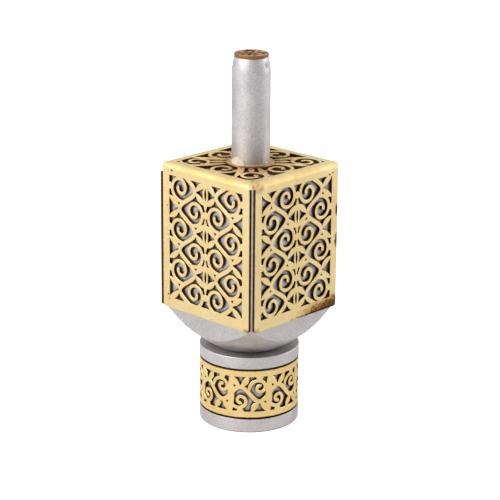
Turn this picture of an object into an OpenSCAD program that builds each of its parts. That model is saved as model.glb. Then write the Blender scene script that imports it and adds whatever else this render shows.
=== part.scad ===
// Spinning top of square aluminium bar, dressed in cut brass sheet, in a round holder.
// The origin is the middle of the holder's underside, +Z is up, sizes are millimetres.

/* [Block] */
// Width across the flats of the square bar
bar_w = 31; // [26:0.5:36]
// Flat cut on the four upright edges of the bar
bar_edge = 0.3; // [0.1:0.05:0.6]
// Radius of the arc that the dome is turned to
dome_arc_r = 60; // [50:1:90]
// Slope of the dome where it starts on the corners of the bar, in degrees
dome_slope = 47.5; // [42:0.5:52]

/* [Brass sheet] */
// Thickness of the brass sheet
sheet_t = 0.8; // [0.5:0.05:1.2]
// Inside radius of the folds
bend_r = 0.5; // [0.3:0.05:1]
// Height of the cover from the edge of its flaps to its top face
cover_h = 38.4; // [34:0.2:46]
// How far the flaps hang below the start of the dome
flap_overhang = 0.5; // [0.2:0.05:1]
// Set back of a flap's edge from the corner of the bar
flap_setback = 0.3; // [0.1:0.05:0.8]
// How far one flap runs on past the face of the bar beside it
flap_lap = 0.6; // [0:0.1:0.8]
// Corner radius at the lower end of a flap
flap_corner_r = 0.8; // [0.4:0.1:1.5]

/* [Fretwork] */
// Plain border at the sides of a flap
border_side = 2.3; // [1.8:0.1:4]
// Plain border at the fold and at the lower edge of a flap
border_end = 2.9; // [2.2:0.1:4.5]
// Plain border of the top panel
border_top = 2.9; // [2.4:0.1:3.6]
// Plain brass round the stem
border_stem = 1.1; // [0.8:0.1:1.6]
// Plain border along both edges of the band
border_band = 1.8; // [1.4:0.1:2.4]
// Width of the vine
vine_w = 1.15; // [0.9:0.05:1.4]
// Width of the coils that branch from the vine
coil_w = 0.95; // [0.8:0.05:1.1]
// Width of the leaves
leaf_w = 1.6; // [1.2:0.1:2]
// Diameter of the beads that join the coils
bead_d = 1.9; // [1.5:0.1:2.4]
// Width of the almonds between the scrolls
almond_w = 1.9; // [1.5:0.1:2.2]
// Width of the slit in an almond
slit_w = 0.7; // [0.4:0.1:0.8]
// Gap between a coil and the border or the vine
fret_gap = 0.6; // [0.4:0.05:0.8]
// Width of the beam that cuts the sheet, which leaves no narrower gap open
beam_w = 0.12; // [0.06:0.02:0.2]
// Coils along one side of a flap
flap_coils = 6; // [4:2:8]
// Pairs of coils round the band
band_pairs = 8; // [6:1:9]

/* [Stem] */
// Diameter of the stem
stem_d = 9.8; // [8.6:0.1:11]
// Length of the stem
stem_len = 28; // [22:0.5:36]
// Diameter of the stem's rounded end
stem_end_d = 8.5; // [7:0.1:8.6]
// Length over which the stem rounds to its end
stem_end_len = 4.2; // [2:0.1:6]
// Diameter of the cap on the stem
cap_d = 8.7; // [7.4:0.1:9]
// Diameter of the hole in the middle of the cap, and of the dots round it
cap_hole_d = 1; // [0.8:0.1:1.2]
// Plain brass round the openings of the cap
cap_border = 0.8; // [0.6:0.1:1.1]
// Diameter of the pin between stem and block
dowel_d = 4; // [3:0.1:5]
// Depth of the pin in the stem and in the block
dowel_depth = 8; // [5:0.5:12]
// Flat cut on both ends of the pin
dowel_edge = 0.4; // [0.2:0.05:0.8]

/* [Holder] */
// Diameter of the holder
stand_d = 26; // [25:0.5:32]
// Height of the holder
stand_h = 20.6; // [18:0.2:26]
// Width of the rim round the hollow
rim_w = 3.9; // [3.2:0.1:4.6]
// Thickness of the floor under the hollow
floor_t = 4; // [2:0.5:6]
// Plain aluminium above the band
upper_land = 3.1; // [2:0.1:4]
// Plain aluminium below the band
lower_land = 3.7; // [2:0.1:5]
// Flat cut on the outer edges of the holder
stand_edge = 0.35; // [0.2:0.05:0.8]
// Flat cut on the mouth of the hollow
mouth_edge = 0.3; // [0.2:0.05:0.6]

/* [Clearances] */
// Gap between the dome and the mouth of the holder
seat_gap = 0.15; // [0.1:0.01:0.3]
// Gap round the pin and at its ends
dowel_gap = 0.05; // [0.03:0.01:0.1]
// Gap between the stem and the hole in the cover
stem_gap = 0.15; // [0.1:0.01:0.3]
// Gap along both edges of the band
band_gap = 0.35; // [0.15:0.05:0.4]
// How far the band lies below the face of the holder
band_inset = 0.05; // [0.02:0.01:0.15]
// Gap between the two ends of the band
seam_gap = 0.4; // [0.2:0.1:0.8]

/* [Hidden] */
$fn = 96;
aluminium = "#bdbabc";
brass = "#e6cf8f";
brown_brass = "#8f6642";
steel = "#8d9094";
// Length by which a cutting shape passes the faces that it cuts
cut = 1;

// The dome is an arc in the plane of the axis, from the corners of the bar to the point
corner_r = bar_w / sqrt(2);
arc_x = corner_r - dome_arc_r * sin(dome_slope);
function dome_drop(r) = sqrt(pow(dome_arc_r, 2) - pow(r - arc_x, 2)) - dome_arc_r * cos(dome_slope);
dome_steps = 24;
hollow_r = stand_d / 2 - rim_w;
mouth_r = hollow_r + mouth_edge;
dome_z = stand_h + seat_gap + dome_drop(mouth_r);

// Heights of the cover, the block and the stem
flap_z = dome_z - flap_overhang;
cover_z = flap_z + cover_h;
block_z = cover_z - sheet_t;
stem_z = block_z + stem_len;
stem_steps = 10;

// The cover's flat faces end where its folds start
face_x = bar_w / 2;
fold_x = face_x - bend_r;
fold_z = block_z - bend_r;
flap_w = bar_w - 2 * flap_setback;
flap_h = fold_z - flap_z;
lap_h = flap_h - bend_r - sheet_t;

// Openings in the flaps, the top panel and the band
window_w = flap_w - 2 * border_side;
window_h = cover_h - 2 * border_end;
window_z = flap_z + cover_h / 2;
window_top = face_x + sheet_t - border_top;
stem_hole_r = stem_d / 2 + stem_gap;
stem_ring_r = stem_hole_r + border_stem;

// Groove of the holder, and the band in it
stand_r = stand_d / 2;
band_r = stand_r - band_inset;
groove_r = band_r - sheet_t;
groove_h = stand_h - upper_land - lower_land;
band_h = groove_h - 2 * band_gap;
band_z = lower_land + groove_h / 2;
window_band = band_h - 2 * border_band;
pair_len = 2 * PI * band_r / band_pairs;
pair_turn = 360 / band_pairs;

// A strip along a path of points, with its width at each point
function strip(path, widths) = let (n = len(path) - 1) [
  for (side = [1, -1], i = [0 : n])
    let (k = side > 0 ? i : n - i, way = path[min(k + 1, n)] - path[max(k - 1, 0)])
      path[k] + side * widths[k] / 2 / norm(way) * [-way.y, way.x]];

// A pointed leaf that starts at the origin, with its middle line bowed to one side
leaf_steps = 4;
function leaf(l, w, bow = 0) = [
  for (side = [1, -1], i = [0 : leaf_steps - 1])
    let (t = side > 0 ? i / leaf_steps : 1 - i / leaf_steps) [l * t, (bow + side * w / 2) * sin(180 * t)]];

// A coil winds inwards from its start and passes its far side at a given radius
coil_steps = 20;
coil_turns = 1.45;
coil_end_r = 0.65;
function coil_fall(start_r, far_r, far_turn) =
  ln((far_r - coil_end_r) / (start_r - coil_end_r)) / ln(1 - far_turn / 360 / coil_turns);
function coil_path(start_r, far_r, start, far_turn, hand) = [
  for (i = [0 : coil_steps])
    let (s = i / coil_steps, a = start + hand * 360 * coil_turns * s,
      q = coil_end_r + (start_r - coil_end_r) * pow(1 - s, coil_fall(start_r, far_r, far_turn)))
      q * [cos(a), sin(a)]];

// Along its length a coil starts narrow, grows to its width, tapers a little and ends in a round bulb
coil_root = 0.3;
coil_growth = 8;
coil_taper = 0.2;
bulb_start = 0.85;
bulb_growth = 2.5;
tip_start = 0.93;
tip_blunt = 0.05;
function coil_swell(s) =
  min(1, coil_root + coil_growth * s) * (1 - coil_taper * s + bulb_growth * max(0, s - bulb_start));
function coil_tip(s) = sqrt(1 + tip_blunt - pow(max(0, s - tip_start) / (1 - tip_start), 2));
coil_widths = [for (i = [0 : coil_steps]) let (s = i / coil_steps) coil_w * coil_swell(s) * coil_tip(s)];
function coil(middle, start_r, far_r, start, far_turn, hand) =
  strip([for (p = coil_path(start_r, far_r, start, far_turn, hand)) middle + p], coil_widths);

function placed(shape, x, y, turn) = [
  for (p = shape) [x + p.x * cos(turn) - p.y * sin(turn), y + p.x * sin(turn) + p.y * cos(turn)]];
function swapped(shape, side) = [for (p = shape) [side * p.x, p.y]];

// A running scroll fills a strip from x = 0 to x = w: its vine sways from side to side along Y,
// a coil fills each hollow of the vine, and two leaves grow from the back of each bend
vine_steps = 6;
leaf_spread = 36;
leaf_bite = 0.45;
leaf_bow = leaf_w / 6;
sway_share = 0.42;
row_share = 0.62;
function sway(w) = sway_share * w / 2;
function row_y(i, rows, pitch) = pitch * (i + 0.5 - rows / 2);
function row_side(i) = i % 2 == 0 ? 1 : -1;
function coil_r(w, pitch) =
  min((w / 2 + sway(w) - vine_w / 2 - 2 * fret_gap) / 2, row_share * pitch) - coil_w / 2;
function vine_path(w, pitch, rows) = [
  for (i = [-1 : vine_steps * rows + 1])
    [w / 2 + sway(w) * sin(180 * i / vine_steps), pitch * (i / vine_steps - rows / 2)]];
function vine(w, pitch, rows) = let (path = vine_path(w, pitch, rows)) strip(path, [for (p = path) vine_w]);
function vine_coil(w, pitch, y, side) =
  let (r = coil_r(w, pitch), far = w / 2 - fret_gap - r - coil_w / 2, dip = atan2(pitch / 2, far))
    coil([w / 2 - side * far, y], norm([far, pitch / 2]), r, side > 0 ? -dip : 180 + dip, 180 - dip, -side);
function vine_leaf(w, y, side, turn) =
  let (reach = (w / 2 - sway(w)) / cos(turn) + leaf_bite, bow = sign(turn) * side * leaf_bow)
    placed(leaf(reach, leaf_w, bow), w / 2 + side * sway(w), y, side > 0 ? turn : 180 - turn);
function scroll(w, pitch, rows) = concat([vine(w, pitch, rows)], [
  for (i = [0 : rows - 1]) let (y = row_y(i, rows, pitch), side = row_side(i))
    each [vine_coil(w, pitch, y, side),
      vine_leaf(w, y, side, leaf_spread),
      vine_leaf(w, y, side, -leaf_spread)]]);

// What the cutting beam leaves of a sheet: gaps that are narrower than the beam stay closed
module beam_cut() {
  offset(delta = -beam_w / 2) offset(delta = beam_w / 2) children();
}

// Cut sheet of one flap: two scrolls grow side by side, joined by beads and almonds down the middle
bead_sides = 16;
module bead(x, y) {
  translate([x, y]) circle(d = bead_d, $fn = bead_sides);
}
module almond(y, l, slit_l) {
  difference() {
    polygon(placed(leaf(l, almond_w), 0, y - l / 2, 90));
    polygon(placed(leaf(slit_l, slit_w), 0, y - slit_l / 2, 90));
  }
}
module flap_fretwork(up) {
  pitch = window_h / flap_coils;
  half = scroll(window_w / 2, pitch, flap_coils);
  for (side = [-1, 1], shape = half)
    polygon([for (p = swapped(shape, side)) [p.x, up * p.y]]);
  for (i = [0 : flap_coils - 1]) {
    y = up * row_y(i, flap_coils, pitch);
    if (row_side(i) > 0)
      bead(0, y);
    else
      almond(y, 2 * (pitch + leaf_bite) - bead_d, pitch - bead_d);
    for (side = [-1, 1])
      if (row_side(i) < 0)
        bead(side * window_w / 2, y);
  }
}
module flap_blank(lap) {
  side_x = flap_w / 2;
  polygon([[-side_x, 0], [side_x + lap, 0], [side_x + lap, lap_h],
    [side_x, lap_h], [side_x, flap_h], [-side_x, flap_h]]);
}
module flap_sheet(up, lap) {
  difference() {
    translate([0, -cover_h / 2]) difference() {
      flap_blank(lap);
      translate([-flap_w / 2, 0]) flap_corner(-1);
      translate([flap_w / 2 + lap, 0]) flap_corner(1);
    }
    square([window_w, window_h], center = true);
  }
  intersection() {
    flap_fretwork(up);
    square([window_w + leaf_bite, window_h + leaf_bite], center = true);
  }
}
module flap_corner(side) {
  difference() {
    square(2 * flap_corner_r, center = true);
    translate([-side * flap_corner_r, flap_corner_r]) circle(flap_corner_r, $fn = 2 * bead_sides);
  }
}

// Cut sheet of the top panel: coils and leaves turn about the stem
top_turn = 29;
corner_turn = 20;
module top_fretwork() {
  reach = window_top - stem_ring_r;
  side_r = (reach - coil_w) / 2;
  side_x = stem_ring_r + reach / 2;
  corner_x = window_top - fret_gap - side_r;
  for (k = [0 : 3]) rotate(90 * k) {
    polygon(coil([side_x, 0], reach / 2 + border_stem / 2, side_r, 180, 180, -1));
    polygon(coil([corner_x, corner_x], window_top + leaf_bite - corner_x, side_r, corner_turn, 180, 1));
    bead(window_top, 0);
    top_leaf(top_turn, window_top / cos(top_turn) + leaf_bite);
    top_leaf(90 - top_turn, window_top / cos(top_turn) + leaf_bite);
    top_leaf(45, corner_x * sqrt(2) - side_r);
  }
}
module top_leaf(turn, end_r) {
  start_r = stem_ring_r - border_stem / 2;
  polygon(placed(leaf(end_r - start_r, leaf_w), start_r * cos(turn), start_r * sin(turn), turn));
}
module top_sheet() {
  difference() {
    square(2 * fold_x, center = true);
    square(2 * window_top, center = true);
  }
  circle(stem_ring_r);
  intersection() {
    top_fretwork();
    square(2 * window_top + leaf_bite, center = true);
  }
}

// One fold, along X, from the top panel down to a flap
module fold() {
  rotate([90, 0, 90])
    linear_extrude(2 * fold_x, center = true)
      translate([-fold_x, fold_z])
        intersection() {
          difference() {
            circle(bend_r + sheet_t);
            circle(bend_r);
          }
          translate([-bend_r - sheet_t, 0]) square(bend_r + sheet_t);
        }
}

module turned_block() {
  dome = [for (i = [0 : dome_steps]) let (r = corner_r * i / dome_steps) [r, dome_z - dome_drop(r)]];
  color(aluminium)
    difference() {
      intersection() {
        linear_extrude(block_z)
          intersection() {
            square(bar_w, center = true);
            rotate(45) square(2 * (corner_r - bar_edge / sqrt(2)), center = true);
          }
        rotate_extrude()
          polygon(concat(dome, [[corner_r + cut, dome_z], [corner_r + cut, block_z], [0, block_z]]));
        for_both_ways() linear_extrude(bar_w + 2 * cut, center = true)
          polygon([[-face_x, 0], [face_x, 0], [face_x, fold_z], [fold_x, block_z],
            [-fold_x, block_z], [-face_x, fold_z]]);
      }
      translate([0, 0, block_z - dowel_depth - dowel_gap])
        cylinder(d = dowel_d + 2 * dowel_gap, h = dowel_depth + dowel_gap + cut);
    }
}
// What is kept of an upright outline drawn across X and across Y
module for_both_ways() {
  intersection() {
    rotate([90, 0, 0]) children();
    rotate([90, 0, 90]) children();
  }
}

module stem() {
  end_z = stem_z - stem_end_len;
  end = [for (i = [0 : stem_steps]) let (t = i / stem_steps)
    [(stem_d + (stem_end_d - stem_d) * t * t) / 2, end_z + stem_end_len * t]];
  color(aluminium)
    difference() {
      rotate_extrude()
        polygon(concat([[0, block_z], [stem_d / 2, block_z]], end, [[0, stem_z]]));
      translate([0, 0, block_z - cut])
        cylinder(d = dowel_d + 2 * dowel_gap, h = dowel_depth + dowel_gap + cut);
    }
}

module stem_dowel() {
  pin_r = dowel_d / 2;
  side_z = dowel_depth - dowel_edge;
  color(steel)
    translate([0, 0, block_z])
      rotate_extrude()
        polygon([[0, -dowel_depth], [pin_r - dowel_edge, -dowel_depth], [pin_r, -side_z],
          [pin_r, side_z], [pin_r - dowel_edge, dowel_depth], [0, dowel_depth]]);
}

// The cap has a ring of petals and dots round a small hole
petals = 6;
module stem_cap() {
  dot_ring_r = cap_d / 2 - cap_border - cap_hole_d / 2;
  petal_l = dot_ring_r - cap_hole_d;
  color(brown_brass)
    translate([0, 0, stem_z])
      linear_extrude(sheet_t)
        difference() {
          circle(d = cap_d);
          circle(d = cap_hole_d);
          for (k = [0 : petals - 1]) rotate(360 / petals * k) {
            polygon(placed(leaf(petal_l, petal_l / 2), cap_hole_d, 0, 0));
            rotate(180 / petals) translate([dot_ring_r, 0]) circle(d = cap_hole_d);
          }
        }
}

module fretwork_cover() {
  color(brass) {
    translate([0, 0, block_z]) linear_extrude(sheet_t) difference() {
      beam_cut() top_sheet();
      circle(stem_hole_r);
    }
    for (k = [0 : 3]) rotate(90 * k) {
      fold();
      translate([0, -face_x, window_z])
        rotate([90, 0, 0])
          linear_extrude(sheet_t) beam_cut() flap_sheet(row_side(k), k < 3 ? 0 : flap_setback + flap_lap);
    }
  }
}

module stand_cup() {
  color(aluminium)
    rotate_extrude()
      polygon([[0, 0], [stand_r - stand_edge, 0], [stand_r, stand_edge], [stand_r, lower_land],
        [groove_r, lower_land], [groove_r, stand_h - upper_land], [stand_r, stand_h - upper_land],
        [stand_r, stand_h - stand_edge], [stand_r - stand_edge, stand_h], [mouth_r, stand_h],
        [hollow_r, stand_h - mouth_edge], [hollow_r, floor_t], [0, floor_t]]);
}

// The band's openings are drawn as they are seen from straight outside, where a length along the band
// looks shorter: one pair of coils at a time, between two upright almonds that are joined to the borders
function seen(length) = band_r * sin(length / band_r * 180 / PI);
module band_fretwork() {
  pitch = pair_len / 2;
  almond_l = window_band + 2 * border_band;
  for (shape = scroll(window_band, pitch, 2))
    polygon([for (p = shape) [seen(p.y), p.x - window_band / 2]]);
  for (side = [-1, 1]) {
    bead(side * seen(pitch / 2), side * window_band / 2);
    polygon(placed(leaf(almond_l, almond_w), side * seen(pitch), -almond_l / 2, 90));
  }
}
module band_openings() {
  offset(delta = beam_w / 2) offset(delta = -beam_w / 2)
    difference() {
      square([2 * seen(pair_len / 2), window_band], center = true);
      band_fretwork();
    }
}
// The two ends of the band meet behind, in the middle of an almond
module stand_band() {
  cut_r = groove_r * cos(pair_turn / 2) - cut;
  seam_turn = pair_turn * (floor(band_pairs / 2) + 0.5);
  color(brass)
    translate([0, 0, band_z])
      difference() {
        cylinder(r = band_r, h = band_h, center = true);
        cylinder(r = groove_r, h = band_h + cut, center = true);
        for (k = [0 : band_pairs - 1]) rotate(pair_turn * k)
          rotate([90, 0, 0])
            translate([0, 0, cut_r]) linear_extrude(band_r + cut - cut_r) band_openings();
        rotate(seam_turn)
          translate([-seam_gap / 2, -stand_d, -band_h]) cube([seam_gap, stand_d, 2 * band_h]);
      }
}

turned_block();
stem();
stem_dowel();
stem_cap();
fretwork_cover();
stand_cup();
stand_band();
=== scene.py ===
import math

import bmesh
import bpy
import numpy as np
from mathutils import Matrix, Vector
from mathutils.geometry import delaunay_2d_cdt


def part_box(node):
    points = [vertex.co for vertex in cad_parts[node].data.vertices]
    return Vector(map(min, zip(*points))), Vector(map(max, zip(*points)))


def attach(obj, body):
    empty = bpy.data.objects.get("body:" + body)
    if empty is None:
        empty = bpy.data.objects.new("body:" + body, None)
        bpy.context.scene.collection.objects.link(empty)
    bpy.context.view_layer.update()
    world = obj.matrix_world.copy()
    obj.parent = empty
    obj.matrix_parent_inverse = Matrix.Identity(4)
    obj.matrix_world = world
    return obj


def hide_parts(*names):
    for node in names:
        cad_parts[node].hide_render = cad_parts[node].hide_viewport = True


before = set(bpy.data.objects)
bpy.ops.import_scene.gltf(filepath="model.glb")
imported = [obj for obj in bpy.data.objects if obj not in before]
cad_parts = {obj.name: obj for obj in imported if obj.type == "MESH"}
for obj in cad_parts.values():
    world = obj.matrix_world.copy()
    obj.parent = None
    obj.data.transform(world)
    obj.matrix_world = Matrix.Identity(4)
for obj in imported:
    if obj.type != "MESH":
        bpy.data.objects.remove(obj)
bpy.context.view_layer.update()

# Stand cup: a short length of aluminium bar, turned on a lathe with a hollow that takes the spinning point
# and a shallow groove for the brass band. Its faces are rubbed to a satin, and its edges are broken.
MM = 0.001
stand_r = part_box("stand_cup")[1].x / MM
stand_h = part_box("stand_cup")[1].z / MM
rim_w = 3.9
floor_t = 4
upper_land = 3.1
lower_land = 3.7
groove_depth = 0.85
stand_edge = 0.4
land_edge = 0.12
groove_corner = 0.05
rim_corner = 0.2
mouth_edge = 0.3
floor_corner = 0.5
groove_clear = 0.4
soot_line = 0.1
rim_painted_shade_in = 0.15
rim_painted_shade_share = 0.2
foot_painted_shadow_h = 0.3
foot_painted_shadow_w = 0.5
foot_painted_shadow_share = 0.5
cup_columns = 240
groove_count = 36
same_place = 1e-4
sharp_turn = math.radians(32)
hollow_r = stand_r - rim_w
groove_r = stand_r - groove_depth
groove_top = stand_h - upper_land


def filleted(points, radii, steps=5):
    """A line through points whose inner corners are rounded: at each one a quadratic curve runs from a
    radius before the corner to a radius after it."""
    points = np.array(points, float)
    corner = points[1:-1, None]
    before = (points[:-2] - points[1:-1])[:, None]
    after = (points[2:] - points[1:-1])[:, None]
    reach = np.array(radii, float)[:, None, None]
    start = corner + reach * before / np.linalg.norm(before, axis=2, keepdims=True)
    end = corner + reach * after / np.linalg.norm(after, axis=2, keepdims=True)
    t = np.linspace(0, 1, steps + 1)[None, :, None]
    curve = (1 - t) ** 2 * start + 2 * t * (1 - t) * corner + t ** 2 * end
    return np.concatenate([points[:1], curve.reshape(-1, 2), points[-1:]])


def wound(rings, columns):
    """The faces of a grid that closes on itself: each joins column j to the next one between two rings."""
    ring = columns * np.arange(rings - 1)[:, None]
    j = np.arange(columns)
    k = (j + 1) % columns
    return np.stack([ring + j, ring + k, ring + columns + k, ring + columns + j], -1).reshape(-1, 4).tolist()


def turned(profile, columns):
    """A profile of radius and height carried round the Z axis, with each corner's way along the profile."""
    turn = np.linspace(0, 2 * np.pi, columns, endpoint=False)
    radius, height = profile.T[..., None]
    corners = np.stack([radius * np.cos(turn), radius * np.sin(turn), height + 0 * turn], -1)
    steps = np.linalg.norm(np.diff(profile, axis=0), axis=1)
    along = np.concatenate([[0], np.cumsum(steps)])
    return corners.reshape(-1, 3), wound(len(profile), columns), np.repeat(along, columns)


def piece(name, corners, faces, materials, finishes=None, **marks):
    """An object from corners in millimetres, with the number of each face's material where there are more
    than one, and a number on each corner for every mark that is named. Corners that coincide become one,
    and edges sharper than a gentle bend stay sharp."""
    mesh = bpy.data.meshes.new(name)
    mesh.from_pydata((corners * MM).tolist(), [], faces)
    if finishes is not None:
        mesh.polygons.foreach_set("material_index", finishes)
    for mark, values in marks.items():
        mesh.attributes.new(mark, "FLOAT", "POINT").data.foreach_set("value", np.asarray(values, np.float32))
    shape = bmesh.new()
    shape.from_mesh(mesh)
    bmesh.ops.remove_doubles(shape, verts=shape.verts, dist=same_place * MM)
    bmesh.ops.recalc_face_normals(shape, faces=shape.faces)
    shape.to_mesh(mesh)
    shape.free()
    mesh.shade_smooth()
    mesh.set_sharp_from_angle(angle=sharp_turn)
    for material in materials:
        mesh.materials.append(material)
    made = bpy.data.objects.new(name, mesh)
    bpy.context.scene.collection.objects.link(made)
    return made


def linear(colour):
    """A colour written as sRGB hex, turned to the linear values that a shader takes."""
    srgb = np.array([int(colour[i:i + 2], 16) for i in (1, 3, 5)]) / 255
    return *np.where(srgb <= 0.04045, srgb / 12.92, ((srgb + 0.055) / 1.055) ** 2.4), 1


def add(tree, kind, inputs, **settings):
    """Adds a node with its settings, and gives each input named a value or a link."""
    made = tree.nodes.new("ShaderNode" + kind)
    for name, value in settings.items():
        setattr(made, name, value)
    for name, value in inputs.items():
        if isinstance(value, bpy.types.NodeSocket):
            tree.links.new(value, made.inputs[name])
        else:
            made.inputs[name].default_value = value
    return made


def per_mm(size):
    """The scale at which a texture on object coordinates in metres repeats after a size in millimetres."""
    return 1 / (size * MM)


def satin_aluminium(name, light, dark, roughness, mark_mm, grain_mm=0.35, patch_mm=5):
    """Aluminium turned and rubbed: fine rings follow the tool's way along the profile, a rubbed grain lies
    over them, and handling leaves wide patches that are a little duller. Rings and grain are drawn coarser
    than real ones, so that they show. Where the darkening mark is 1 it is painted dark brown: painted
    shade in gaps and under overhanging brass, with some soot and glue there, and darker in a dent."""
    material = bpy.data.materials.new(name)
    material.use_nodes = True
    tree = material.node_tree
    shader = tree.nodes["Principled BSDF"]
    place = add(tree, "TexCoord", {}).outputs["Object"]
    along = add(tree, "Attribute", {}, attribute_name="along").outputs["Fac"]
    rings = add(tree, "TexNoise", {"W": along, "Scale": 1 / mark_mm, "Detail": 3}, noise_dimensions="1D")
    grain = add(tree, "TexNoise", {"Vector": place, "Scale": per_mm(grain_mm), "Detail": 4,
                                   "Roughness": 0.65})
    patches = add(tree, "TexNoise", {"Vector": place, "Scale": per_mm(patch_mm), "Detail": 3})
    speckle = add(tree, "MapRange", {0: grain.outputs["Fac"], 1: 0.3, 2: 0.7})
    shade = add(tree, "Math", {0: speckle.outputs[0], 1: patches.outputs["Fac"]}, operation="ADD")
    share = add(tree, "MapRange", {0: shade.outputs[0], 1: 0.4, 2: 1.4})
    colour = add(tree, "Mix", {0: share.outputs[0], 6: linear(dark), 7: linear(light)}, data_type="RGBA")
    # The darkening mark paints shade and shadow dark brown, with some soot and glue where brass overhangs.
    soot = add(tree, "Attribute", {}, attribute_name="soot").outputs["Fac"]
    darkened = add(tree, "Mix", {0: soot, 6: colour.outputs[2], 7: linear("#442808")}, data_type="RGBA")
    gloss = add(tree, "MapRange", {0: patches.outputs["Fac"], 1: 0.3, 2: 0.7, 3: roughness - 0.05,
                                   4: roughness + 0.06})
    height = add(tree, "Math", {0: rings.outputs["Fac"], 1: 0.5, 2: grain.outputs["Fac"]},
                 operation="MULTIPLY_ADD")
    bump = add(tree, "Bump", {"Strength": 0.35, "Distance": 0.03 * MM, "Height": height.outputs[0]})
    tree.links.new(darkened.outputs[2], shader.inputs["Base Color"])
    tree.links.new(gloss.outputs[0], shader.inputs["Roughness"])
    tree.links.new(bump.outputs[0], shader.inputs["Normal"])
    shader.inputs["Metallic"].default_value = 1
    return material


groove_rows = np.linspace(lower_land + groove_clear, groove_top - groove_clear, groove_count)
below_groove = filleted(
    [(0, 0), (stand_r, 0), (stand_r, lower_land), (groove_r, lower_land), (groove_r, groove_rows[0])],
    [stand_edge, land_edge, groove_corner])
above_groove = filleted(
    [(groove_r, groove_rows[-1]), (groove_r, groove_top), (stand_r, groove_top), (stand_r, stand_h),
     (hollow_r, stand_h), (hollow_r, floor_t), (0, floor_t)],
    [groove_corner, land_edge, rim_corner, mouth_edge, floor_corner])
groove_floor = np.column_stack([0 * groove_rows + groove_r, groove_rows])
cup_profile = np.concatenate([below_groove, groove_floor[1:-1], above_groove])
cup_corners, cup_faces, cup_along = turned(cup_profile, cup_columns)
cup_r = np.hypot(*cup_corners[:, :2].T)
cup_z = cup_corners[:, 2]
# Painted shade: the ledges of the groove, in the narrow gaps above and below the band, are painted dark
# brown.
ledge_away = np.minimum(np.abs(cup_z - lower_land), np.abs(cup_z - groove_top))
groove_soot = (ledge_away < soot_line) & (cup_r > groove_r - soot_line) & (cup_r < stand_r - soot_line)
# Painted shade: the top of the rim is painted a little darker, for the dome's shade and its dark reflection.
rim_painted_shade = (cup_z > stand_h - soot_line) & (cup_r < stand_r - rim_painted_shade_in)
# Painted shadow: the foot of the stand is painted darker, for the contact shadow where it meets the floor.
foot_painted_shadow = (cup_z < foot_painted_shadow_h) & (cup_r > stand_r - foot_painted_shadow_w)
cup_soot = np.maximum(groove_soot, np.maximum(rim_painted_shade_share * rim_painted_shade, foot_painted_shadow_share * foot_painted_shadow))
stand_aluminium = satin_aluminium("turned_aluminium_stand", "#dad5d6", "#bab6b7", roughness=0.5, mark_mm=0.25)
cup = piece("stand_cup_turned", cup_corners, cup_faces, [stand_aluminium], along=cup_along, soot=cup_soot)
cup.modifiers.new("even_shading", "WEIGHTED_NORMAL").keep_sharp = True
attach(cup, "stand")
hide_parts("stand_cup")

# Stand band: a strip of brass sheet, cut through in a running scroll, rolled round and pressed into the
# groove of the stand, where its two ends meet behind. The cutting beam has browned the walls of its cuts.
sheet_t = 0.8
band_inset = 0.05
band_gap = 0.35
band_border = 1.8
band_pairs = 8
band_bends = 132
seam_gap = 0.4
window_over = 1.1
vine_w = 1.15
vine_sway = 0.21
vine_over = 1 / 6
vine_steps = 26
coil_w = 0.95
coil_fill = 0.62
coil_turns = 1.45
coil_end_r = 0.65
coil_root = 0.3
root_len = 0.125
coil_taper = 0.2
bulb_from = 0.85
bulb_swell = 2.5
tip_from = 0.93
tip_blunt = 1.05
leaf_w = 1.6
leaf_bow = leaf_w / 6
leaf_spread = 36
leaf_bite = 0.45
almond_w = 1.9
bead_d = 1.9
fret_gap = 0.6
rim_edge = 0.07
mitre_limit = 0.6
net_tol = 1e-5
edge_painted_shade_reach = 0.3
soot_creep = 0.55
soot_most = 0.92
touching = 0.01
band_r = stand_r - band_inset
band_h = stand_h - upper_land - lower_land - 2 * band_gap
band_z = (stand_h - upper_land + lower_land) / 2
window_band = band_h - 2 * band_border
almond_l = window_band + 2 * band_border
pair_len = 2 * np.pi * band_r / band_pairs
first_pair = 1 - band_pairs // 2
pairs = np.arange(first_pair, first_pair + band_pairs)
seam_x = pair_len * (pairs[0] - 0.5)
band_ends = pair_len * np.array([pairs[0] - 0.5, pairs[-1] + 0.5]) + np.array([seam_gap, -seam_gap]) / 2
everywhere = 10 * stand_r


def strip(path, width):
    """The outline of a strip: along its path half the width to the left, and back along it on the right."""
    ahead = np.concatenate([path[1:], path[-1:]])
    behind = np.concatenate([path[:1], path[:-1]])
    way = ahead - behind
    left = np.stack([-way[:, 1], way[:, 0]], 1) / np.linalg.norm(way, axis=1, keepdims=True)
    half = left * np.broadcast_to(width, len(path))[:, None] / 2
    return np.concatenate([path + half, (path - half)[::-1]])


def ring(radius, x=0, y=0, steps=32):
    """A circle about a point."""
    turn = np.linspace(0, 2 * np.pi, steps, endpoint=False)
    return np.stack([x + radius * np.cos(turn), y + radius * np.sin(turn)], 1)


def leaf(length, width, bow=0, steps=14):
    """A pointed leaf along X from the origin: each edge rises and falls as a sine along its length."""
    t = np.arange(steps) / steps
    upper = np.stack([length * t, (bow + width / 2) * np.sin(np.pi * t)], 1)
    lower = np.stack([length * (1 - t), (bow - width / 2) * np.sin(np.pi * t)], 1)
    return np.concatenate([upper, lower])


def placed(outline, x, y, turn):
    """An outline turned by degrees about the origin and then moved."""
    c, s = math.cos(math.radians(turn)), math.sin(math.radians(turn))
    return outline @ np.array([[c, s], [-s, c]]) + (x, y)


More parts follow.
